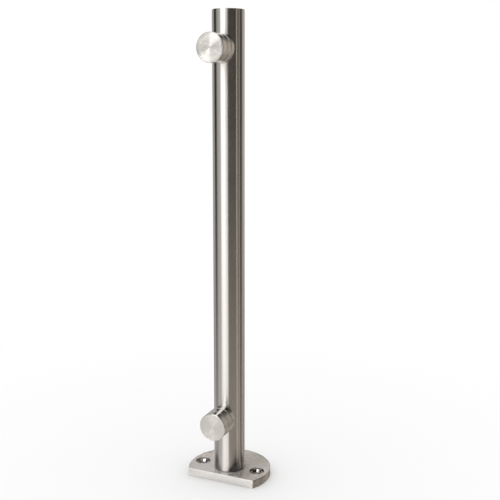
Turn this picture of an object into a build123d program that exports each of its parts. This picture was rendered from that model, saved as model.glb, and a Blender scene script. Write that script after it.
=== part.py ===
from build123d import *
import os
from math import radians, tan

# Stainless steel post on a D-shaped base plate, with two round clamps that hold a glass panel.
# Millimetres, +Z up. The origin is on the post's axis, at the underside of the base plate.
# The clamps and the flat side of the plate face -Y, so a panel hangs in front of the post.

# Post
post_height = 375.0
tube_diameter = 25.0
tube_wall = 2.0
tube_edge_chamfer = 0.3

# Cap pressed into the top of the tube, flush with its end
cap_length = 10.0
cap_edge_chamfer = 0.2

# Base plate
base_diameter = 68.0
base_thickness = 6.7
base_edge_chamfer = 0.35
flat_distance = 18.0
seat_depth = 1.0

# Fixing holes in the base plate, for countersunk screws
fixing_hole_spacing = 49.5
fixing_hole_diameter = 6.6
fixing_countersink_diameter = 12.0
countersink_angle = 90.0

# Screw from below that holds the post on the plate, and the tapped plug that takes it
screw_diameter = 8.0
screw_length = 18.0
screw_head_diameter = 16.0
screw_head_rim = 0.4
screw_head_recess = 0.3
socket_width = 5.0
socket_depth = 2.8
foot_plug_length = 20.0

# Clamps: places on the post
lower_clamp_height = 53.0
upper_clamp_drop = 29.1
glass_to_flat = 0.3

# Clamps: pieces, all turned about the clamp's own axis
clamp_diameter = 22.0
gasket_thickness = 0.5
gasket_inset = 0.3
gasket_bore = 14.0
ring_length = 6.6
washer_thickness = 0.4
washer_inset = 0.9
knob_length = 6.3
knob_face_chamfer = 0.25
barrel_edge_chamfer = 0.5
spigot_diameter = 12.0
spigot_length = 3.0

# Stud, its clip and how far the clamp opens
stud_diameter = 8.0
stud_tip_chamfer = 0.8
stud_depth_in_knob = 5.0
thread_engagement = 6.0
clamp_travel = 10.0
clip_diameter = 12.0
clip_thickness = 0.8
clip_groove_depth = 0.6
clip_mouth = 5.6
clip_pocket_diameter = 13.0
clip_pocket_depth = 1.6

# Clearances, each on one side
fixed_gap = 0.02
running_gap = 0.05
loose_gap = 0.2
axial_gap = 0.05

# Sizes that follow from the ones above
tube_radius = tube_diameter / 2
tube_bore_radius = tube_radius - tube_wall
foot_level = base_thickness - seat_depth
clamp_radius = clamp_diameter / 2
stud_radius = stud_diameter / 2
clip_groove_radius = stud_radius - clip_groove_depth
countersink_slope = tan(radians(countersink_angle / 2))

# Stations along a clamp, measured outwards from the post's axis
glass_plane = flat_distance + glass_to_flat
barrel_back = tube_radius + fixed_gap
barrel_front = glass_plane - gasket_thickness
ring_back = glass_plane + gasket_thickness
ring_front = ring_back + ring_length
knob_back = ring_front + washer_thickness
knob_front = knob_back + knob_length
spigot_end = tube_radius - spigot_length
stud_inner_end = barrel_front - thread_engagement - clamp_travel
stud_outer_end = knob_back + stud_depth_in_knob
clip_front = ring_back + clip_pocket_depth - axial_gap
clip_back = clip_front - clip_thickness

clamp_heights = {"lower": lower_clamp_height, "upper": post_height - upper_clamp_drop}


def turned(profile):
    """Turn a closed outline of (radius, height) points about the Z axis."""
    outline = Plane.XZ * make_face(Polyline(*profile, close=True))
    return revolve(outline, Axis.Z)


def rod(radius, low, high):
    """Round bar on the Z axis between two heights."""
    return Pos(0, 0, low) * extrude(Circle(radius), high - low)


def washer(outer_radius, inner_radius, low, high):
    """Flat ring on the Z axis between two heights."""
    return Pos(0, 0, low) * extrude(Circle(outer_radius) - Circle(inner_radius), high - low)


def countersunk_cutter(hole_radius, head_radius, depth):
    """Cutter for a countersunk hole whose mouth is at the origin and which runs down to -depth."""
    overshoot = 1.0
    cone_depth = (head_radius - hole_radius) / countersink_slope
    return turned([
        (0, overshoot),
        (head_radius + overshoot * countersink_slope, overshoot),
        (hole_radius, -cone_depth),
        (hole_radius, -depth),
        (0, -depth),
    ])


def make_base_plate():
    """Round plate with its front cut flat, two fixing holes and the seat for the post."""
    front = Pos(0, -flat_distance - base_diameter / 2) * Rectangle(2 * base_diameter, base_diameter)
    plate = extrude(Circle(base_diameter / 2) - front, base_thickness)
    faces = plate.faces().sort_by(Axis.Z)
    plate = chamfer(faces[0].edges() + faces[-1].edges(), base_edge_chamfer)

    fixing = countersunk_cutter(
        fixing_hole_diameter / 2, fixing_countersink_diameter / 2, base_thickness + 1
    )
    for side in (-1, 1):
        plate -= Pos(side * fixing_hole_spacing / 2, 0, base_thickness) * fixing

    seat = rod(tube_radius + fixed_gap, foot_level, base_thickness + 1)
    mouth_radius = screw_head_diameter / 2 + screw_head_recess * countersink_slope + fixed_gap
    screw_hole = countersunk_cutter(screw_diameter / 2 + loose_gap, mouth_radius, base_thickness + 1)
    return plate - seat - Rot(180, 0, 0) * screw_hole


def make_post_tube():
    """Round tube from its seat in the plate to the top, with a cross hole for each clamp."""
    tube = turned([
        (tube_bore_radius, foot_level),
        (tube_radius, foot_level),
        (tube_radius, post_height - tube_edge_chamfer),
        (tube_radius - tube_edge_chamfer, post_height),
        (tube_bore_radius, post_height),
    ])
    for height in clamp_heights.values():
        tube -= on_clamp(rod(spigot_diameter / 2 + fixed_gap, 0, tube_diameter), height)
    return tube


def make_end_cap():
    """Turned cap that closes the top of the tube, its broken edge a fine line inside the rim."""
    cap_radius = tube_bore_radius - fixed_gap
    cap_low = post_height - cap_length
    return turned([
        (0, cap_low),
        (cap_radius, cap_low),
        (cap_radius, post_height - cap_edge_chamfer),
        (cap_radius - cap_edge_chamfer, post_height),
        (0, post_height),
    ])


def make_foot_plug():
    """Plug in the foot of the tube, tapped for the screw from below."""
    plug_radius = tube_bore_radius - fixed_gap
    hole_radius = screw_diameter / 2 + fixed_gap
    return washer(plug_radius, hole_radius, foot_level, foot_level + foot_plug_length)


def make_base_screw():
    """Countersunk screw, head down, with a hexagon socket."""
    head_low = screw_head_recess
    head_radius = screw_head_diameter / 2
    shank_radius = screw_diameter / 2
    cone_low = head_low + screw_head_rim
    cone_top_radius = head_radius - screw_head_rim * countersink_slope
    cone_high = cone_low + (cone_top_radius - shank_radius) / countersink_slope
    tip = head_low + screw_length
    screw = turned([
        (0, head_low),
        (cone_top_radius, head_low),
        (cone_top_radius, cone_low),
        (shank_radius, cone_high),
        (shank_radius, tip),
        (0, tip),
    ])
    socket = extrude(RegularPolygon(socket_width / 2, 6, major_radius=False), socket_depth)
    return screw - Pos(0, 0, head_low) * socket


def make_barrel():
    """Rear piece of a clamp: flat back against the round tube, spigot in its cross hole."""
    spigot_radius = spigot_diameter / 2
    bore_radius = stud_radius + running_gap
    return turned([
        (bore_radius, spigot_end),
        (spigot_radius, spigot_end),
        (spigot_radius, barrel_back),
        (clamp_radius - barrel_edge_chamfer, barrel_back),
        (clamp_radius, barrel_back + barrel_edge_chamfer),
        (clamp_radius, barrel_front),
        (bore_radius, barrel_front),
    ])


def make_gasket(low):
    """Soft disc against the glass, a little smaller than the clamp."""
    return washer(clamp_radius - gasket_inset, gasket_bore / 2, low, low + gasket_thickness)


def make_clamp_ring():
    """Ring that presses the glass, with a pocket at its back for the clip."""
    bore_radius = stud_radius + loose_gap
    pocket_radius = clip_pocket_diameter / 2
    pocket_end = ring_back + clip_pocket_depth
    return turned([
        (pocket_radius, ring_back),
        (clamp_radius, ring_back),
        (clamp_radius, ring_front),
        (bore_radius, ring_front),
        (bore_radius, pocket_end),
        (pocket_radius, pocket_end),
    ])


def make_slip_washer():
    """Thin washer at the bottom of the groove between the ring and the knob."""
    return washer(clamp_radius - washer_inset, stud_radius + loose_gap, ring_front, knob_back)


def make_retaining_clip():
    """Open ring in the stud's groove, which draws the clamp ring back with the knob."""
    clip = washer(clip_diameter / 2, clip_groove_radius + fixed_gap, clip_back, clip_front)
    mouth = Pos(0, -clip_diameter / 2, (clip_back + clip_front) / 2)
    return clip - mouth * Box(clip_mouth, clip_diameter, 2 * clip_thickness)


def make_stud():
    """Threaded rod, shown at its outer diameter, fixed in the knob and grooved for the clip."""
    return turned([
        (0, stud_inner_end),
        (stud_radius - stud_tip_chamfer, stud_inner_end),
        (stud_radius, stud_inner_end + stud_tip_chamfer),
        (stud_radius, clip_back - axial_gap),
        (clip_groove_radius, clip_back - axial_gap),
        (clip_groove_radius, clip_front + axial_gap),
        (stud_radius, clip_front + axial_gap),
        (stud_radius, stud_outer_end),
        (0, stud_outer_end),
    ])


def make_knob():
    """Front piece, turned by hand: flat turned face in front, blind hole for the stud behind."""
    hole_radius = stud_radius + fixed_gap
    return turned([
        (hole_radius, knob_back),
        (clamp_radius, knob_back),
        (clamp_radius, knob_front - knob_face_chamfer),
        (clamp_radius - knob_face_chamfer, knob_front),
        (0, knob_front),
        (0, stud_outer_end + axial_gap),
        (hole_radius, stud_outer_end + axial_gap),
    ])


def on_clamp(piece, height):
    """Place a piece that was made along +Z, pointing forwards at a height on the post."""
    return Pos(0, 0, height) * Rot(90, 0, 0) * piece


def make_clamp():
    """The pieces of one clamp, made along +Z from the post's axis."""
    return {
        "barrel": make_barrel(),
        "rear_gasket": make_gasket(barrel_front),
        "front_gasket": make_gasket(glass_plane),
        "clamp_ring": make_clamp_ring(),
        "slip_washer": make_slip_washer(),
        "retaining_clip": make_retaining_clip(),
        "stud": make_stud(),
        "knob": make_knob(),
    }


def make_post():
    """Every piece of the post, by node name, at its place."""
    pieces = {
        "base_plate": make_base_plate(),
        "post_tube": make_post_tube(),
        "end_cap": make_end_cap(),
        "foot_plug": make_foot_plug(),
        "base_screw": make_base_screw(),
    }
    for name, piece in make_clamp().items():
        for level, height in clamp_heights.items():
            pieces[f"{level}_{name}"] = on_clamp(piece, height)
    return pieces


os.makedirs("parts", exist_ok=True)
for node, solid in make_post().items():
    export_step(solid, f"parts/{node}.step")
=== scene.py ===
"""Looks for a stainless steel post with two round glass clamps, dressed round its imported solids.

All lengths are in metres, in the same frame as the solids: +Z up the post, -Y towards the clamps.
"""
import logging
import math
from dataclasses import dataclass, field
from enum import Enum
from typing import Any, Callable, Mapping, Optional, Sequence, Union

import bmesh
import bpy
from mathutils import Matrix, Vector


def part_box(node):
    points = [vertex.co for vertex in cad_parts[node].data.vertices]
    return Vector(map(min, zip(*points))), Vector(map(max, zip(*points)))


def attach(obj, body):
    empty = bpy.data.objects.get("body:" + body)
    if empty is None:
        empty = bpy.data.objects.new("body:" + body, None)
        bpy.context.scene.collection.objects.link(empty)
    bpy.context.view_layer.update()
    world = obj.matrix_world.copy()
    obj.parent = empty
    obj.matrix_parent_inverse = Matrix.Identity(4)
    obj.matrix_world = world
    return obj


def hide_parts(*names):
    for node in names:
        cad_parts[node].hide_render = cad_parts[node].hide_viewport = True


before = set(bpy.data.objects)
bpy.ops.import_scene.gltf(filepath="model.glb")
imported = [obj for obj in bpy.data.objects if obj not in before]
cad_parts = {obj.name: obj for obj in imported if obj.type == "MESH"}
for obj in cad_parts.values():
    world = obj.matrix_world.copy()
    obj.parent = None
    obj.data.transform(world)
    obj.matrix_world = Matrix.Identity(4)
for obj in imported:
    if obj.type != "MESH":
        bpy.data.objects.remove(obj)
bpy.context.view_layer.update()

log = logging.getLogger("post")

MM = 0.001
DEGREE = math.radians(1)
HALF_TURN = 180.0
STRAIGHT_UP = 90.0
ON_AXIS = 1e-7
WHITE = (1.0, 1.0, 1.0, 1.0)
Colour = tuple[float, float, float]


# Node graphs

class Signal:
    """One varying number in a node graph, on which Python's operators add Math nodes."""

    def __init__(self, graph: "Graph", socket: bpy.types.NodeSocket) -> None:
        """Wrap an output socket of the graph."""
        self.graph = graph
        self.socket = socket

    def __add__(self, other: "Number") -> "Signal":
        """Sum."""
        return self.graph.math("ADD", self, other)

    def __radd__(self, other: "Number") -> "Signal":
        """Sum with a plain number on the left."""
        return self.graph.math("ADD", other, self)

    def __sub__(self, other: "Number") -> "Signal":
        """Difference."""
        return self.graph.math("SUBTRACT", self, other)

    def __rsub__(self, other: "Number") -> "Signal":
        """Difference from a plain number on the left."""
        return self.graph.math("SUBTRACT", other, self)

    def __mul__(self, other: "Number") -> "Signal":
        """Product."""
        return self.graph.math("MULTIPLY", self, other)

    def __rmul__(self, other: "Number") -> "Signal":
        """Product with a plain number on the left."""
        return self.graph.math("MULTIPLY", other, self)

    def __truediv__(self, other: "Number") -> "Signal":
        """Quotient."""
        return self.graph.math("DIVIDE", self, other)

    def __neg__(self) -> "Signal":
        """The number with its sign turned."""
        return self.graph.math("MULTIPLY", self, -1.0)


Number = Union[Signal, float, int]
Feed = Union[Signal, bpy.types.NodeSocket, float, int, Sequence[float]]


class Graph:
    """A node tree, for a material, the world or Geometry Nodes, built from Python expressions."""

    def __init__(self, tree: bpy.types.NodeTree) -> None:
        """Start on a tree with no nodes in it."""
        self.tree = tree
        tree.nodes.clear()

    def feed(self, socket: bpy.types.NodeSocket, value: Feed) -> None:
        """Link a socket to a value, or set it where the value is plain.

        Args:
            socket: the input socket.
            value: a signal, an output socket, or a plain value.
        """
        if isinstance(value, Signal):
            value = value.socket
        if isinstance(value, bpy.types.NodeSocket):
            self.tree.links.new(value, socket)
        else:
            socket.default_value = value

    def node(self, kind: str, settings: Optional[Mapping[str, Any]] = None,
             inputs: Optional[Mapping[Any, Feed]] = None) -> bpy.types.Node:
        """Add any node.

        Args:
            kind: the node's type.
            settings: the node's own settings, set before its sockets.
            inputs: values or links, by the socket's name or number.

        Returns:
            The new node.
        """
        node = self.tree.nodes.new(kind)
        for name, value in (settings or {}).items():
            setattr(node, name, value)
        for key, value in (inputs or {}).items():
            self.feed(node.inputs[key], value)
        return node

    def out(self, node: bpy.types.Node, name: Any = 0) -> Signal:
        """An output of a node, as a signal."""
        return Signal(self, node.outputs[name])

    def math(self, operation: str, *terms: Number) -> Signal:
        """Add a Math node.

        Args:
            operation: the node's operation.
            terms: its inputs, in order.

        Returns:
            The result.
        """
        return self.out(self.node("ShaderNodeMath", {"operation": operation}, dict(enumerate(terms))))

    def vector(self, operation: str, *terms: Feed, scale: Optional[Number] = None) -> bpy.types.NodeSocket:
        """Add a Vector Math node.

        Args:
            operation: the node's operation.
            terms: its vector inputs, in order.
            scale: the number that a SCALE takes.

        Returns:
            The resulting vector's socket.
        """
        node = self.node("ShaderNodeVectorMath", {"operation": operation}, dict(enumerate(terms)))
        if scale is not None:
            self.feed(node.inputs["Scale"], scale)
        return node.outputs["Vector"]

    def coordinates(self, kind: str) -> bpy.types.NodeSocket:
        """One kind of coordinates of the point that is shaded."""
        return self.node("ShaderNodeTexCoord").outputs[kind]

    def split(self, vector: bpy.types.NodeSocket) -> tuple[Signal, Signal, Signal]:
        """The three parts of a vector."""
        node = self.node("ShaderNodeSeparateXYZ", inputs={0: vector})
        return self.out(node, 0), self.out(node, 1), self.out(node, 2)

    def join(self, x: Number, y: Number, z: Number) -> bpy.types.NodeSocket:
        """A vector of three numbers."""
        return self.node("ShaderNodeCombineXYZ", inputs={0: x, 1: y, 2: z}).outputs[0]

    def distance(self, first: Signal, second: Signal) -> Signal:
        """How far a point is from an axis that it is off by these two lengths."""
        return self.math("SQRT", first * first + second * second)

    def ramp(self, value: Signal, start: float, end: float, low: float = 0.0, high: float = 1.0) -> Signal:
        """A soft step from low to high as the value goes from start to end.

        Args:
            value: what is measured.
            start: where the step starts.
            end: where it ends.
            low: the result before the start.
            high: the result after the end.

        Returns:
            The step.
        """
        limits = {"Value": value, "From Min": start, "From Max": end, "To Min": low, "To Max": high}
        return self.out(self.node("ShaderNodeMapRange", {"interpolation_type": "SMOOTHSTEP"}, limits))

    def noise(self, place: bpy.types.NodeSocket, scale: float, detail: float) -> Signal:
        """Noise of about 0 to 1.

        Args:
            place: the coordinates.
            scale: how fine it is.
            detail: how many finer layers it has.

        Returns:
            The noise.
        """
        inputs = {"Vector": place, "Scale": scale, "Detail": detail}
        return self.out(self.node("ShaderNodeTexNoise", {"noise_dimensions": "3D"}, inputs), "Fac")

    def mix(self, amount: Number, first: Feed, second: Feed) -> bpy.types.NodeSocket:
        """A colour between two.

        Args:
            amount: 0 for the first, 1 for the second.
            first: a colour with its alpha, or a colour's socket.
            second: the same.

        Returns:
            The mixed colour's socket.
        """
        factor, colour_a, colour_b, mixed = 0, 6, 7, 2
        inputs = {factor: amount, colour_a: first, colour_b: second}
        return self.node("ShaderNodeMix", {"data_type": "RGBA"}, inputs).outputs[mixed]

    def shades(self, amount: Signal, dark: Colour, light: Colour) -> bpy.types.NodeSocket:
        """A colour between a dark and a light one, as the amount goes from 0 to 1."""
        return self.mix(amount, (*dark, 1.0), (*light, 1.0))

    def surface(self, shader: bpy.types.Node) -> None:
        """Make a shader the material's surface."""
        self.node("ShaderNodeOutputMaterial", inputs={"Surface": shader.outputs[0]})


def new_material(name: str) -> tuple[bpy.types.Material, Graph]:
    """Start a material.

    Args:
        name: its name.

    Returns:
        The material and its empty graph.
    """
    material = bpy.data.materials.new(name)
    material.use_nodes = True
    return material, Graph(material.node_tree)


# Finishes

class Grain(Enum):
    """How a steel surface was worked, which says how its fine lines run."""

    ROUND_POST = "fine lines round the post"
    TURNED = "fine rings about a clamp's axis"
    GROUND = "straight lines along the flat of the plate, rings in its two holes"
    ROUND_HOLE = "rings about an upright axis"


@dataclass(frozen=True)
class Lines:
    """The fine lines of one surface: how light they are, and the finer grooves that tilt it.

    The grooves tilt the surface sideways from the direction that they run along. The roughness is taken
    times the smoothness, and where upright is 1 the surface is shaded as a wall.
    """

    shade: Signal
    grooves: Signal
    along: bpy.types.NodeSocket
    tilt: Number
    smoothness: Number = 1.0
    upright: Number = 0.0


@dataclass(frozen=True)
class SteelFinish:
    """Stainless steel, worked one way.

    Slants and turns are limits on a part of the surface's normal, and a step is half the width of a soft
    limit. A line's length is in times its width. The round scale is how fine the lines are round the post.
    """

    name: str
    grain: Grain
    roughness: float
    colour: Colour = (0.62, 0.603, 0.582)
    stretch: float = 0.0
    stretch_turn: float = 0.0
    line_tilt: float = 0.0
    face_tilt: float = 0.0
    face_turn: tuple[float, float] = (0.93, 0.99)
    axis_height: float = 0.0
    line_width: float = 0.3 * MM
    groove_width: float = 0.03 * MM
    line_length: float = 60.0
    round_scale: float = 90.0
    shade_spread: float = 0.045
    smudge_scale: float = 45.0
    smudge_share: float = 0.45
    smudge_roughness: float = 0.05
    line_roughness: float = 0.04
    level_step: float = 0.1 * MM
    hole_distance: float = 24.75 * MM
    hole_radius: float = 6.0 * MM
    hole_step: float = 0.06 * MM
    hole_smoothness: float = 0.4
    hole_tilt: float = 0.06
    hole_mouth_level: float = 5.7 * MM
    edge_tilt: float = 0.1
    edge_slant: tuple[float, float] = (0.5, 0.6)
    top_slant: tuple[float, float] = (0.98, 0.9)
    # Painted shade: below this height the colour is darkened by the depth, a dark band painted at the foot
    painted_shade_level: float = 0.0
    painted_shade_depth: float = 0.6

    def material(self) -> bpy.types.Material:
        """Build the finish: colour and roughness vary along its lines, and the lines tilt the surface.

        Returns:
            The material.
        """
        material, graph = new_material(self.name)
        place = graph.coordinates("Object")
        flat = graph.coordinates("Normal")
        lines = self.lines(graph, place, flat)
        smudge = graph.noise(place, self.smudge_scale, detail=3.0)
        shade = (1.0 - self.smudge_share) * lines.shade + self.smudge_share * smudge
        dark = tuple((1.0 - self.shade_spread) * part for part in self.colour)
        light = tuple((1.0 + self.shade_spread) * part for part in self.colour)
        colour = graph.shades(shade, dark, light)
        # Painted shade: the colour is darkened below the level, a dark band at the foot in place of the shade
        # where the tube meets the plate
        if self.painted_shade_level:
            _, _, z = graph.split(place)
            painted_shade = graph.ramp(z, self.painted_shade_level + self.level_step, self.painted_shade_level - self.level_step)
            colour = graph.vector("SCALE", colour, scale=1.0 - self.painted_shade_depth * painted_shade)
        uneven = self.smudge_roughness * (smudge - 0.5) + self.line_roughness * (lines.shade - 0.5)
        inputs = {
            "Base Color": colour,
            "Metallic": 1.0,
            "Roughness": (self.roughness + uneven) * lines.smoothness,
            "Anisotropic": self.stretch,
            "Anisotropic Rotation": self.stretch_turn,
            "Normal": self.grooved(graph, lines, flat),
        }
        graph.surface(graph.node("ShaderNodeBsdfPrincipled", inputs=inputs))
        return material

    def lines(self, graph: Graph, place: bpy.types.NodeSocket, flat: bpy.types.NodeSocket) -> Lines:
        """The fine lines of this grain.

        Args:
            graph: the material's graph.
            place: Object coordinates.
            flat: the surface's own normal.

        Returns:
            The lines.
        """
        x, y, z = graph.split(place)
        if self.grain is Grain.TURNED:
            level = z - self.axis_height
            radius = graph.distance(x, level)
            shade, grooves = self.streaks(graph, lambda scale: (radius * scale, y * scale, 0.0))
            return Lines(shade, grooves, graph.join(level, 0.0, -x), self.line_tilt)
        if self.grain is Grain.GROUND:
            return self.plate_lines(graph, x, y, z, flat)
        if self.grain is Grain.ROUND_HOLE:
            radius = graph.distance(x, y)
            shade, grooves = self.streaks(graph, lambda scale: (radius * scale, 0.0, z * scale))
        else:
            around = self.round_scale
            shade, grooves = self.streaks(graph, lambda scale: (x * around, y * around, z * scale))
        return Lines(shade, grooves, graph.join(-y, x, 0.0), self.line_tilt)

    def streaks(self, graph: Graph, spread: Callable[[float], Sequence[Number]]) -> tuple[Signal, Signal]:
        """Lines, and the finer grooves among them.

        Args:
            graph: the material's graph.
            spread: the noise's coordinates, for a number of lines to the metre.

        Returns:
            The lines and the grooves, each of about 0 to 1.
        """
        lines = graph.noise(graph.join(*spread(1.0 / self.line_width)), scale=1.0, detail=1.0)
        grooves = graph.noise(graph.join(*spread(1.0 / self.groove_width)), scale=1.0, detail=0.0)
        return lines, grooves

    def plate_lines(self, graph: Graph, x: Signal, y: Signal, z: Signal, flat: bpy.types.NodeSocket) -> Lines:
        """The plate's lines: straight ones, with rings in the two holes and an upright mouth to each.

        Args:
            graph: the material's graph.
            x: the place across the plate.
            y: the place along it.
            z: the height.
            flat: the surface's own normal.

        Returns:
            The lines.
        """
        beside = graph.math("ABSOLUTE", x) - self.hole_distance
        radius = graph.distance(beside, y)
        in_hole = graph.ramp(radius, self.hole_radius + self.hole_step, self.hole_radius - self.hole_step)
        mouth = self.hole_mouth_level
        at_mouth = graph.ramp(z, mouth - self.level_step, mouth + self.level_step)
        tilt = self.line_tilt + (self.hole_tilt - self.line_tilt) * in_hole
        long = self.line_length
        shade, straight = self.streaks(graph, lambda scale: (x * (scale / long), y * scale, z * scale))
        fine = 1.0 / self.groove_width
        rings = graph.noise(graph.join(radius * fine, 0.0, z * fine), scale=1.0, detail=0.0)
        side = graph.math("SIGN", x)
        along = graph.join(1.0 - in_hole - in_hole * y / self.hole_radius,
                           in_hole * beside * side / self.hole_radius, 0.0)
        _, _, rising = graph.split(flat)
        slant = graph.math("ABSOLUTE", rising)
        on_edge = graph.ramp(slant, *self.edge_slant) * graph.ramp(slant, *self.top_slant)
        return Lines(
            shade, straight + in_hole * (rings - straight), along, tilt + on_edge * (self.edge_tilt - tilt),
            smoothness=1.0 - (1.0 - self.hole_smoothness) * in_hole, upright=in_hole * at_mouth,
        )

    def grooved(self, graph: Graph, lines: Lines, flat: bpy.types.NodeSocket) -> bpy.types.NodeSocket:
        """The surface's normal with the grooves in it.

        Args:
            graph: the material's graph.
            lines: the fine lines.
            flat: the surface's own normal.

        Returns:
            The tilted normal.
        """
        tilt = lines.tilt
        if self.face_tilt:
            _, facing, _ = graph.split(flat)
            on_face = graph.ramp(graph.math("ABSOLUTE", facing), *self.face_turn)
            tilt = tilt + on_face * (self.face_tilt - tilt)
        across = graph.vector("NORMALIZE", graph.vector("CROSS_PRODUCT", flat, lines.along))
        lean = graph.vector("SCALE", across, scale=2.0 * tilt * (lines.grooves - 0.5))
        tilted = graph.vector("ADD", flat, lean)
        tilted = graph.vector("MULTIPLY", tilted, graph.join(1.0, 1.0, 1.0 - lines.upright))
        settings = {"vector_type": "NORMAL", "convert_from": "OBJECT", "convert_to": "WORLD"}
        turned = graph.node("ShaderNodeVectorTransform", settings, {0: graph.vector("NORMALIZE", tilted)})
        return turned.outputs[0]


@dataclass(frozen=True)
class SoftFinish:
    """Rubber or plastic, in one colour with a fine uneven surface."""

    name: str
    colour: Colour
    roughness: float
    lightening: float = 1.25
    haze: float = 0.01
    dust_scale: float = 180.0
    dust_share: float = 0.6
    dust_roughness: float = 0.12
    grain_size: float = 0.4 * MM
    grain_depth: float = 0.02 * MM
    grain_strength: float = 0.6

    def material(self) -> bpy.types.Material:
        """Build the finish, with mottled colour and a fine bump.

        Returns:
            The material.
        """
        material, graph = new_material(self.name)
        place = graph.coordinates("Object")
        grain = graph.noise(place, 1.0 / self.grain_size, detail=2.0)
        dust = graph.noise(place, self.dust_scale, detail=3.0)
        light = tuple(self.lightening * part + self.haze for part in self.colour)
        relief = {"Distance": self.grain_depth, "Strength": self.grain_strength, "Height": grain}
        mottle = self.dust_share * dust + (1.0 - self.dust_share) * grain
        inputs = {
            "Base Color": graph.shades(mottle, self.colour, light),
            "Roughness": self.roughness + self.dust_roughness * (dust - 0.5),
            "Normal": graph.node("ShaderNodeBump", inputs=relief).outputs[0],
        }
        graph.surface(graph.node("ShaderNodeBsdfPrincipled", inputs=inputs))
        return material


def dress(piece: bpy.types.Object, material: bpy.types.Material) -> None:
    """Give a piece one material, in place of any it has."""
    piece.data.materials.clear()
    piece.data.materials.append(material)


# Turned pieces

@dataclass(frozen=True)
class Corner:
    """A corner of a turned outline: its radius, its station along the axis and its rounding."""

    radius: float
    station: float
    rounding: float = 0.0


@dataclass(frozen=True)
class TurnedOutline:
    """A closed outline that is turned about a clamp's axis.

    Beside each arc stands one more point, the guard times as far from the corner as the arc's end, which
    keeps the flat part between two arcs shaded as flat.
    """

    corners: Sequence[Corner]
    axis_height: float
    segments: int = 128
    arc_steps: int = 4
    guard: float = 1.8

    def points(self) -> list[Vector]:
        """The outline's points, with each rounded corner as an arc between two guards.

        Returns:
            Points of radius and station.
        """
        found = []
        count = len(self.corners)
        for index, corner in enumerate(self.corners):
            here = Vector((corner.radius, corner.station))
            if corner.rounding == 0:
                found.append(here)
                continue
            before, after = self.corners[index - 1], self.corners[(index + 1) % count]
            back = (Vector((before.radius, before.station)) - here).normalized()
            ahead = (Vector((after.radius, after.station)) - here).normalized()
            half = back.angle(ahead) / 2
            reach = corner.rounding / math.tan(half)
            centre = here + (back + ahead).normalized() * (corner.rounding / math.sin(half))
            start, end = here + back * reach - centre, here + ahead * reach - centre
            found.append(here + back * reach * self.guard)
            for step in range(self.arc_steps + 1):
                found.append(centre + start.slerp(end, step / self.arc_steps) * corner.rounding)
            found.append(here + ahead * reach * self.guard)
        return found

    def mesh(self, name: str) -> bpy.types.Mesh:
        """Turn the outline about the clamp's axis, which runs along -Y.

        Args:
            name: the mesh's name.

        Returns:
            A closed mesh, smooth all over.
        """
        work = bmesh.new()
        rings = []
        for radius, station in self.points():
            ring = []
            for index in range(self.segments if radius > ON_AXIS else 1):
                angle = 2 * math.pi * index / self.segments
                place = (radius * math.cos(angle), -station, self.axis_height + radius * math.sin(angle))
                ring.append(work.verts.new(place))
            rings.append(ring)
        for ring, following in zip(rings, rings[1:] + rings[:1]):
            for index in range(self.segments):
                around = [ring[index % len(ring)], ring[(index + 1) % len(ring)],
                          following[(index + 1) % len(following)], following[index % len(following)]]
                corners = list(dict.fromkeys(around))
                if len(corners) > 2:
                    work.faces.new(corners)
        bmesh.ops.recalc_face_normals(work, faces=work.faces)
        mesh = bpy.data.meshes.new(name)
        work.to_mesh(mesh)
        work.free()
        mesh.shade_smooth()
        return mesh


def add_piece(name: str, mesh: bpy.types.Mesh, body: str, node: str) -> bpy.types.Object:
    """Add a piece that rides on a body and stands for a solid of the same place.

    Args:
        name: the piece's name.
        mesh: its mesh, in place.
        body: the body that it rides on.
        node: the solid that it stands for.

    Returns:
        The piece.
    """
    piece = bpy.data.objects.new(name, mesh)
    bpy.context.scene.collection.objects.link(piece)
    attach(piece, body)
    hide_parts(node)
    log.info("%s: %d faces, on body %s, in place of %s", name, len(mesh.polygons), body, node)
    return piece


# Thread

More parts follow.
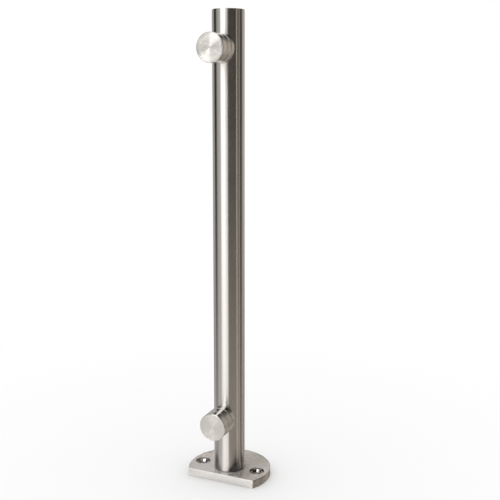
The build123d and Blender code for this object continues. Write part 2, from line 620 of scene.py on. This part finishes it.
@dataclass(frozen=True)
class ThreadRule:
    """Geometry Nodes tree for a stud whose surface follows a screw thread for part of its length.

    The crest's end and the root's start are shares of half a pitch, from the middle of a crest.
    """

    name: str = "threaded stud"
    around: int = 48
    rows_per_pitch: int = 10
    crest_end: float = 0.18
    root_start: float = 0.86
    lead_in: float = 0.8 * MM
    run_out: float = 0.9 * MM
    taper_length: float = 0.9 * MM
    taper_depth: float = 0.8 * MM

    def tree(self) -> bpy.types.NodeTree:
        """Build the tree: a fine cylinder whose rows the thread, the groove and the end's taper draw in.

        Returns:
            The tree, with named inputs for its sizes.
        """
        tree = bpy.data.node_groups.new(self.name, "GeometryNodeTree")
        graph = Graph(tree)
        for label in ("Length", "Radius", "Pitch", "Thread Depth", "Thread End", "Groove Start", "Groove End",
                      "Groove Depth", "Height"):
            tree.interface.new_socket(label, in_out="INPUT", socket_type="NodeSocketFloat")
        tree.interface.new_socket("Material", in_out="INPUT", socket_type="NodeSocketMaterial")
        tree.interface.new_socket("Mesh", in_out="OUTPUT", socket_type="NodeSocketGeometry")
        given = graph.node("NodeGroupInput")
        size = {socket.name: graph.out(given, socket.name) for socket in given.outputs if socket.name}

        sizes = {
            "Vertices": self.around, "Radius": size["Radius"], "Depth": size["Length"],
            "Side Segments": graph.math("ROUND", size["Length"] / size["Pitch"] * self.rows_per_pitch),
        }
        rod = graph.node("GeometryNodeMeshCylinder", {"fill_type": "TRIANGLE_FAN"}, sizes)
        x, y, z = graph.split(graph.node("GeometryNodeInputPosition").outputs[0])
        along = z + size["Length"] / 2
        turn = graph.math("ARCTAN2", y, x) / (2 * math.pi)
        phase = graph.math("FRACT", along / size["Pitch"] - turn + 1.0)
        ridge = graph.math("ABSOLUTE", phase - 0.5) * 2.0
        cut = graph.ramp(ridge, self.crest_end, self.root_start)
        left = size["Thread End"] - along
        threaded = graph.ramp(along, 0.0, self.lead_in) * graph.ramp(left, 0.0, self.run_out)
        taper = graph.ramp(along, self.taper_length, 0.0) * self.taper_depth
        groove = graph.math("GREATER_THAN", along, size["Groove Start"])
        groove = groove * graph.math("LESS_THAN", along, size["Groove End"]) * size["Groove Depth"]
        sunk = graph.math("MAXIMUM", cut * threaded * size["Thread Depth"], taper)
        sunk = graph.math("MAXIMUM", sunk, groove)
        shrink = 1.0 - sunk / size["Radius"]
        drawn_in = graph.join(x * shrink, -along, size["Height"] + y * shrink)
        moved = graph.node("GeometryNodeSetPosition", inputs={0: rod.outputs["Mesh"], "Position": drawn_in})
        smooth = graph.node("GeometryNodeSetShadeSmooth", inputs={0: moved.outputs[0]})
        whole = graph.node("GeometryNodeRealizeInstances", inputs={0: smooth.outputs[0]})
        given_steel = {0: whole.outputs[0], "Material": size["Material"]}
        dressed = graph.node("GeometryNodeSetMaterial", inputs=given_steel)
        graph.node("NodeGroupOutput", inputs={0: dressed.outputs[0]})
        return tree


def grown_mesh(name: str, tree: bpy.types.NodeTree, values: Mapping[str, Any]) -> bpy.types.Mesh:
    """Run a Geometry Nodes tree once and keep what it makes as a plain mesh.

    Args:
        name: the mesh's name.
        tree: the tree.
        values: its inputs, by name.

    Returns:
        The mesh.
    """
    holder = bpy.data.objects.new(name + " maker", bpy.data.meshes.new(name + " maker"))
    bpy.context.scene.collection.objects.link(holder)
    modifier = holder.modifiers.new("maker", "NODES")
    modifier.node_group = tree
    for item in tree.interface.items_tree:
        if item.in_out == "INPUT" and item.name in values:
            modifier[item.identifier] = values[item.name]
    evaluated = bpy.context.evaluated_depsgraph_get()
    evaluated.update()
    mesh = bpy.data.meshes.new_from_object(holder.evaluated_get(evaluated), depsgraph=evaluated)
    mesh.name = name
    holder.modifiers.remove(modifier)
    bpy.data.objects.remove(holder)
    return mesh


# Clamps

class Level(Enum):
    """Which of the two clamps."""

    LOWER = "lower"
    UPPER = "upper"


@dataclass
class GlassClamp:
    """One round clamp: barrel, gaskets, ring, washer, clip, stud and knob, about an axis along -Y."""

    level: Level
    thread: bpy.types.NodeTree
    edge_round: float = 0.18 * MM
    rear_round: float = 0.45 * MM
    face_chamfer: float = 0.25 * MM
    chamfer_round: float = 0.05 * MM
    stud_radius: float = 4.0 * MM
    stud_bore: float = 4.05 * MM
    ring_bore: float = 4.2 * MM
    pocket_radius: float = 6.5 * MM
    pocket_depth: float = 1.6 * MM
    spigot_radius: float = 6.0 * MM
    spigot_length: float = 3.02 * MM
    knob_hole_depth: float = 5.05 * MM
    thread_pitch: float = 1.25 * MM
    thread_depth: float = 0.72 * MM
    thread_length: float = 16.2 * MM
    groove_start: float = 17.7 * MM
    groove_end: float = 18.65 * MM
    groove_depth: float = 0.6 * MM
    face_tilt: Mapping[Level, float] = field(default_factory=lambda: {Level.LOWER: 0.7, Level.UPPER: 2.2})

    def own(self, part: str) -> str:
        """The name of this clamp's own solid or body."""
        return f"{self.level.value}_{part}"

    def span(self, part: str) -> tuple[float, float, float]:
        """Where a solid lies.

        Args:
            part: the solid's name, without the clamp's.

        Returns:
            Its outer radius, and its near and far stations along the clamp's axis.
        """
        low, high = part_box(self.own(part))
        return (high.z - low.z) / 2, -high.y, -low.y

    def height(self) -> float:
        """The height of the clamp's axis."""
        low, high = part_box(self.own("knob"))
        return (low.z + high.z) / 2

    def steel(self, kind: str, roughness: float, line_tilt: float,
              face_tilt: float = 0.0) -> bpy.types.Material:
        """Steel that was turned about this clamp's axis.

        Args:
            kind: which steel it is, in words.
            roughness: how matt it is.
            line_tilt: how far its rings tilt the surface.
            face_tilt: how far they tilt a flat face, where that differs.

        Returns:
            The material.
        """
        return SteelFinish(
            f"{self.level.value} {kind} steel", Grain.TURNED, roughness,
            line_tilt=line_tilt, face_tilt=face_tilt, axis_height=self.height(),
        ).material()

    def turned(self, part: str, corners: Sequence[Corner], body: str, slot: str,
               material: bpy.types.Material) -> None:
        """Turn one piece, dress it and let it stand for its solid.

        Args:
            part: the solid's name, without the clamp's.
            corners: the outline.
            body: the body that the piece rides on.
            slot: the record's material slot, which is not used.
            material: the steel.
        """
        name = f"{self.own(part)}_turned"
        mesh = TurnedOutline(corners, self.height()).mesh(name)
        dress(add_piece(name, mesh, body, self.own(part)), material)

    def build_barrel(self) -> None:
        """The rear piece, with its spigot in the tube."""
        radius, inner, front = self.span("barrel")
        back = inner + self.spigot_length
        corners = [
            Corner(self.stud_bore, inner), Corner(self.spigot_radius, inner),
            Corner(self.spigot_radius, back), Corner(radius, back, self.rear_round),
            Corner(radius, front, self.edge_round), Corner(self.stud_bore, front),
        ]
        steel = self.steel("barrel turned", roughness=0.12, line_tilt=0.5)
        self.turned("barrel", corners, "post", "clamp_steel", steel)

    def build_ring(self) -> None:
        """The ring that presses the glass, with its pocket."""
        radius, back, front = self.span("clamp_ring")
        floor = back + self.pocket_depth
        corners = [
            Corner(self.pocket_radius, back), Corner(radius, back, self.edge_round),
            Corner(radius, front, self.edge_round), Corner(self.ring_bore, front),
            Corner(self.ring_bore, floor), Corner(self.pocket_radius, floor),
        ]
        steel = self.steel("ring turned", roughness=0.12, line_tilt=0.5)
        self.turned("clamp_ring", corners, self.own("ring"), "clamp_steel", steel)

    def build_knob(self) -> None:
        """The front piece, with its turned face."""
        radius, back, front = self.span("knob")
        hole = back + self.knob_hole_depth
        corners = [
            Corner(self.stud_radius, back), Corner(radius, back, self.edge_round),
            Corner(radius, front - self.face_chamfer, self.chamfer_round),
            Corner(radius - self.face_chamfer, front, self.chamfer_round), Corner(0.0, front),
            Corner(0.0, hole), Corner(self.stud_radius, hole),
        ]
        face_tilt = self.face_tilt[self.level]
        steel = self.steel("knob turned", roughness=0.14, line_tilt=0.35, face_tilt=face_tilt)
        self.turned("knob", corners, self.own("knob"), "knob_steel", steel)

    def build_stud(self) -> None:
        """The stud, with its thread and the groove for the clip."""
        _, inner, outer = self.span("stud")
        values = {
            "Length": outer - inner, "Radius": self.stud_radius, "Pitch": self.thread_pitch,
            "Thread Depth": self.thread_depth, "Thread End": self.thread_length,
            "Groove Start": self.groove_start, "Groove End": self.groove_end,
            "Groove Depth": self.groove_depth, "Height": self.height(),
            "Material": self.steel("stud", roughness=0.3, line_tilt=0.12),
        }
        name = f"{self.own('stud')}_threaded"
        mesh = grown_mesh(name, self.thread, values)
        mesh.transform(Matrix.Translation((0, -inner, 0)))
        add_piece(name, mesh, self.own("knob"), self.own("stud"))

    def dress_solids(self, rubber: bpy.types.Material, plastic: bpy.types.Material) -> None:
        """Dress the solids that stay.

        Args:
            rubber: for the gaskets.
            plastic: for the washer.
        """
        clip = self.steel("clip", roughness=0.28, line_tilt=0.1)
        for part, material in (("rear_gasket", rubber), ("front_gasket", rubber), ("slip_washer", plastic),
                               ("retaining_clip", clip)):
            dress(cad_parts[self.own(part)], material)
            log.info("%s: dressed with %s", self.own(part), material.name)

    def build(self, rubber: bpy.types.Material, plastic: bpy.types.Material) -> None:
        """Build and dress the whole clamp.

        Args:
            rubber: for the gaskets.
            plastic: for the washer.
        """
        self.build_barrel()
        self.build_ring()
        self.build_knob()
        self.build_stud()
        self.dress_solids(rubber, plastic)


# Post

@dataclass
class Post:
    """The plate, the tube and what closes the tube's ends."""

    # The tube's foot gets painted shade: a darker band of colour just above where it stands in the plate
    tube: SteelFinish = SteelFinish(
        "tube satin steel", Grain.ROUND_POST, roughness=0.24, stretch=1.0, stretch_turn=0.25, line_tilt=0.03,
        painted_shade_level=7.3 * MM,
    )
    cap: SteelFinish = SteelFinish("cap turned steel", Grain.ROUND_HOLE, roughness=0.3, line_tilt=0.2)
    plate: SteelFinish = SteelFinish(
        "plate satin steel", Grain.GROUND, roughness=0.26, line_tilt=2.6, face_tilt=0.9,
    )
    hardware: SteelFinish = SteelFinish(
        "hidden hardware steel", Grain.ROUND_HOLE, roughness=0.34, line_tilt=0.1, colour=(0.55, 0.55, 0.54),
    )

    def build(self) -> None:
        """Dress the post's solids, whose shapes are right as they are."""
        hardware = self.hardware.material()
        for node, material in (("post_tube", self.tube.material()), ("end_cap", self.cap.material()),
                               ("base_plate", self.plate.material()), ("foot_plug", hardware),
                               ("base_screw", hardware)):
            dress(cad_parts[node], material)
            log.info("%s: dressed with %s", node, material.name)


# Studio

@dataclass(frozen=True)
class Panel:
    """A panel that stands round the object, light or dark, in front of the white background.

    Bearings, heights and edges are in degrees as seen from the object. Bearings go to the right of the
    camera's, and an edge is half the width of the panel's soft border.
    """

    name: str
    glow: float
    bearing: float = 0.0
    half_width: float = HALF_TURN
    side_edge: float = 6.0
    low: float = -STRAIGHT_UP
    high: float = STRAIGHT_UP
    end_edge: float = 8.0
    cover: float = 1.0

    def hides(self, graph: Graph, bearing: Signal, lift: Signal) -> Number:
        """How much of a direction the panel covers.

        Args:
            graph: the world's graph.
            bearing: the direction's bearing, in degrees.
            lift: its height above level, in degrees.

        Returns:
            0 beside the panel, and the panel's cover within it.
        """
        cover = self.cover
        if self.half_width < HALF_TURN:
            off = graph.math("ABSOLUTE", graph.math("WRAP", bearing - self.bearing, HALF_TURN, -HALF_TURN))
            outside, inside = self.half_width + self.side_edge, self.half_width - self.side_edge
            cover = cover * graph.ramp(off, outside, inside)
        if self.low > -STRAIGHT_UP:
            cover = cover * graph.ramp(lift, self.low - self.end_edge, self.low + self.end_edge)
        if self.high < STRAIGHT_UP:
            cover = cover * graph.ramp(lift, self.high + self.end_edge, self.high - self.end_edge)
        return cover


@dataclass
class Studio:
    """The camera, the pale floor and the light.

    Warm shades fade in from one bearing to the other, and from the glow of a lamp down to the glow of a wall.
    """

    camera_place: Vector = Vector((0.27243, -0.58053, 0.31469))
    heading: Vector = Vector((-0.40109, 0.91604, 0.0))
    pitch: float = 10.95 * DEGREE
    roll: float = 0.0020
    lens: float = 59.10
    sensor_width: float = 36.0
    nearest_view: float = 0.01
    floor_radius: float = 3.0
    full_shadow_radius: float = 0.135
    shadow_radius: float = 0.45
    covered_radius: float = 33.0 * MM
    floor_segments: int = 96
    floor_colour: Colour = (0.985, 0.985, 0.985)
    wall_tint: Colour = (1.0, 0.9, 0.79)
    warm_from: float = -40.0
    warm_to: float = 10.0
    lamp_glow: float = 1.9
    wall_glow: float = 0.7
    lamp_tint: Colour = (1.0, 0.99, 0.98)
    left_warmth: float = 0.3
    panels: Sequence[Panel] = (
        Panel("dark ceiling", 0.06, half_width=110, side_edge=20, low=45, end_edge=10),
        Panel("grey ceiling behind", 0.55, bearing=180, half_width=70, side_edge=20, low=55, end_edge=10),
        Panel("upper wall behind", 0.3, bearing=180, half_width=70, side_edge=10, low=20, high=50),
        Panel("lamp overhead on the left", 2.1, bearing=-128, half_width=42, side_edge=10, low=50, high=80,
              end_edge=6),
        Panel("grey wall behind", 0.52, bearing=180, half_width=64, high=22, end_edge=6),
        Panel("paler gap straight behind", 0.62, bearing=177, half_width=20, low=-8, high=16, end_edge=5),
        Panel("right end of the wall", 0.64, bearing=134, half_width=18, high=22, end_edge=6),
        Panel("far grey wall on the left", 0.36, bearing=-78, half_width=26, side_edge=8, high=38,
              end_edge=12),
        Panel("near grey wall on the left", 0.64, bearing=-64, half_width=22, side_edge=16, high=38,
              end_edge=12),
        Panel("dark upper left of the room", 0.08, bearing=-100, half_width=26, side_edge=8, low=22,
              end_edge=7),
        Panel("dark gap on the left", 0.01, bearing=-109, half_width=14, side_edge=6, high=60),
        Panel("dark side of the room", 0.13, bearing=32, half_width=86, side_edge=5),
        Panel("dark upper side of the room", 0.03, bearing=62, half_width=60, low=24, end_edge=8),
        Panel("dark front of the room", 0.015, bearing=20, half_width=34, side_edge=8),
        Panel("thin light strip", 0.9, bearing=60, half_width=2.4, side_edge=1.6, high=14, end_edge=6),
        Panel("second light strip", 0.42, bearing=83, half_width=4, side_edge=3, high=14, end_edge=6),
        Panel("third light strip", 0.6, bearing=118, half_width=4, side_edge=4, high=14, end_edge=6),
        Panel("table", 0.72, high=-20, end_edge=3, cover=0.92),
        Panel("darker right of the table", 0.3, bearing=136, half_width=11, side_edge=5, low=-34, high=-13,
              end_edge=4),
        Panel("dark slot", 0.02, bearing=99, half_width=6, side_edge=3, high=40, cover=0.85),
        Panel("table near the lit part", 0.62, bearing=-48, half_width=24, side_edge=12, high=-20,
              end_edge=5),
        Panel("table in the soft box's light", 1.2, bearing=-28, half_width=23.3, side_edge=5, high=-16,
              end_edge=6),
        Panel("dark room far behind", 0.03, bearing=180, half_width=28, side_edge=6, low=-60, high=-12,
              end_edge=5),
        Panel("tall soft box", 2.25, bearing=-40, half_width=17.5, side_edge=7, low=-14, high=68),
        Panel("upper part of the soft box", 2.7, bearing=-32, half_width=26, side_edge=8, low=24, high=76,
              end_edge=7),
        Panel("overhead part of the soft box", 2.5, bearing=-38, half_width=37, side_edge=6, low=47, high=76,
              end_edge=6),
        Panel("low card", 1.7, bearing=-17, half_width=9.5, side_edge=6, low=-20, high=-1, end_edge=4),
    )

    def place_camera(self) -> None:
        """Put the camera where the photograph was taken from."""
        data = bpy.data.cameras.new("camera")
        data.lens = self.lens
        data.sensor_width = self.sensor_width
        data.clip_start = self.nearest_view
        forward = self.heading.normalized() * math.cos(self.pitch) - Vector((0, 0, math.sin(self.pitch)))
        right = forward.cross(Vector((0, 0, 1))).normalized()
        without_roll = Matrix((right, right.cross(forward), -forward)).transposed()
        turn = without_roll @ Matrix.Rotation(self.roll, 3, "Z")
        camera = bpy.data.objects.new("camera", data)
        camera.matrix_world = Matrix.Translation(self.camera_place) @ turn.to_4x4()
        bpy.context.scene.collection.objects.link(camera)
        bpy.context.scene.camera = camera
        log.info("camera at %s, lens %.1f mm", tuple(round(v, 3) for v in self.camera_place), self.lens)

    def lay_floor(self) -> None:
        """Lay a plain pale floor, which keeps the shadow near the object and fades into the white background.

        Steel mirrors the studio's panels and not the floor, apart from the part under the base, which shows
        through the holes.
        """
        material, graph = new_material("pale floor")
        x, y, _ = graph.split(graph.coordinates("Object"))
        far = graph.ramp(graph.distance(x, y), self.full_shadow_radius, self.shadow_radius)
        seen = graph.out(graph.node("ShaderNodeLightPath"), "Is Camera Ray")
        matte = graph.node("ShaderNodeBsdfDiffuse", inputs={"Color": (*self.floor_colour, 1.0)})
        white = graph.node("ShaderNodeEmission", inputs={"Color": WHITE, "Strength": 1.0})
        graph.surface(graph.node("ShaderNodeMixShader",
                                 inputs={0: far * seen, 1: matte.outputs[0], 2: white.outputs[0]}))
        for name, inner, outer in (("floor_under_base", 0.0, self.covered_radius),
                                   ("floor", self.covered_radius, self.floor_radius)):
            floor = bpy.data.objects.new(name, self.floor_mesh(name, inner, outer))
            floor.data.materials.append(material)
            bpy.context.scene.collection.objects.link(floor)
            floor.visible_glossy = inner == 0.0
            log.info("%s: out to %.2f m", name, outer)

    def floor_mesh(self, name: str, inner: float, outer: float) -> bpy.types.Mesh:
        """A flat disc or ring.

        Args:
            name: the mesh's name.
            inner: its inner radius, 0 for a disc.
            outer: its outer radius.

        Returns:
            The mesh.
        """
        work = bmesh.new()
        if inner == 0.0:
            bmesh.ops.create_circle(work, cap_ends=True, segments=self.floor_segments, radius=outer)
        else:
            rings = [bmesh.ops.create_circle(work, segments=self.floor_segments, radius=radius)["verts"]
                     for radius in (inner, outer)]
            for index in range(self.floor_segments):
                following = (index + 1) % self.floor_segments
                work.faces.new((rings[0][index], rings[1][index], rings[1][following], rings[0][following]))
        mesh = bpy.data.meshes.new(name)
        work.to_mesh(mesh)
        work.free()
        return mesh

    def light(self) -> None:
        """Light the scene from a plain white world, in front of which steel also sees the studio's panels."""
        world = bpy.data.worlds.new("studio")
        bpy.context.scene.world = world
        world.use_nodes = True
        graph = Graph(world.node_tree)
        x, y, z = graph.split(graph.coordinates("Generated"))
        towards = Vector((self.camera_place.x, self.camera_place.y, 0)).normalized()
        right = Vector((-towards.y, towards.x, 0))
        across, ahead = x * right.x + y * right.y, x * towards.x + y * towards.y
        bearing = graph.math("ARCTAN2", across, ahead) / DEGREE
        lift = graph.math("ARCSINE", z) / DEGREE
        glow = 1.0
        for panel in self.panels:
            glow = glow + panel.hides(graph, bearing, lift) * (panel.glow - glow)
        polished = graph.out(graph.node("ShaderNodeLightPath"), "Is Glossy Ray")
        strength = 1.0 + polished * (glow - 1.0)
        warm_side = graph.ramp(bearing, self.warm_from, self.warm_to, self.left_warmth)
        warm = warm_side * graph.ramp(glow, self.lamp_glow, self.wall_glow)
        tint = graph.mix(polished, WHITE, graph.shades(warm, self.lamp_tint, self.wall_tint))
        background = graph.node("ShaderNodeBackground", inputs={"Color": tint, "Strength": strength})
        graph.node("ShaderNodeOutputWorld", inputs={"Surface": background.outputs[0]})
        log.info("studio: %d panels", len(self.panels))

    def build(self) -> None:
        """Set up the whole studio."""
        bpy.context.scene.view_settings.view_transform = "Standard"
        self.place_camera()
        self.lay_floor()
        self.light()


def main() -> None:
    """Build the studio, the post and its two clamps."""
    logging.basicConfig(level=logging.INFO, format="%(name)s: %(message)s")
    Studio().build()
    Post().build()
    thread = ThreadRule().tree()
    rubber = SoftFinish("gasket rubber", (0.2, 0.195, 0.186), roughness=0.6).material()
    plastic = SoftFinish("washer plastic", (0.03, 0.03, 0.03), roughness=0.45).material()
    for level in Level:
        GlassClamp(level, thread).build(rubber, plastic)


if __name__ == "__main__":
    main()
